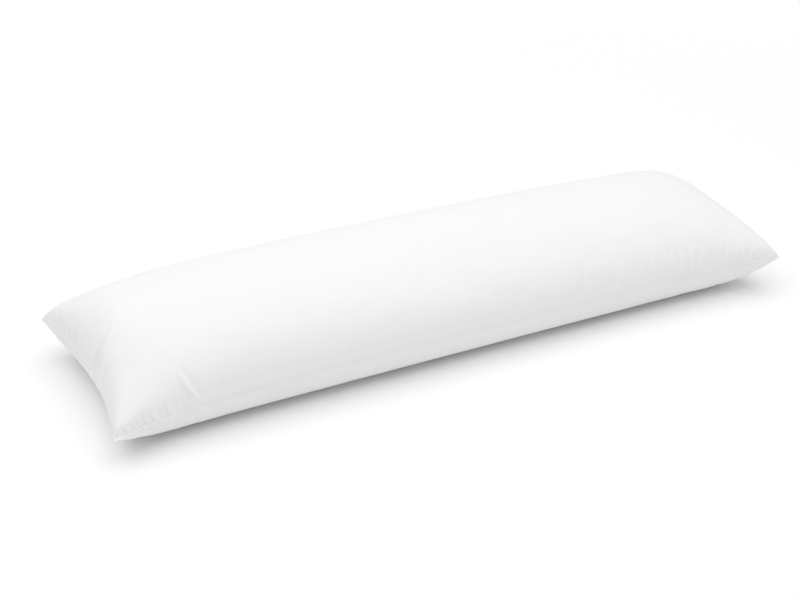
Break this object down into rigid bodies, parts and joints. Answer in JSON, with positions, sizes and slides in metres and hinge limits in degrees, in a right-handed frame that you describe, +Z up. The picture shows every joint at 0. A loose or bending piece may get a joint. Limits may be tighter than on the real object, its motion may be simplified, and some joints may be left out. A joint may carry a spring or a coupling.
{
  "type": "body pillow",
  "caption": "Long plain white body pillow, two cotton panels sewn edge to edge and plumply filled, lying flat on its lower panel.",
  "frame": {"origin": "the middle of the pillow's box, on the surface that it lies on", "axes": "+X along the pillow's length, towards the end that is further from the viewer in the picture; -Y towards the viewer's side; +Z up, through its thickness"},
  "size_m": [1.4392, 0.4542, 0.2153],
  "materials": {
    "cotton": "plain closely woven white cotton, matt with a faint sheen"
  },
  "bodies": {
    "root": {"pillow": "cotton"}
  },
  "joints": []
}
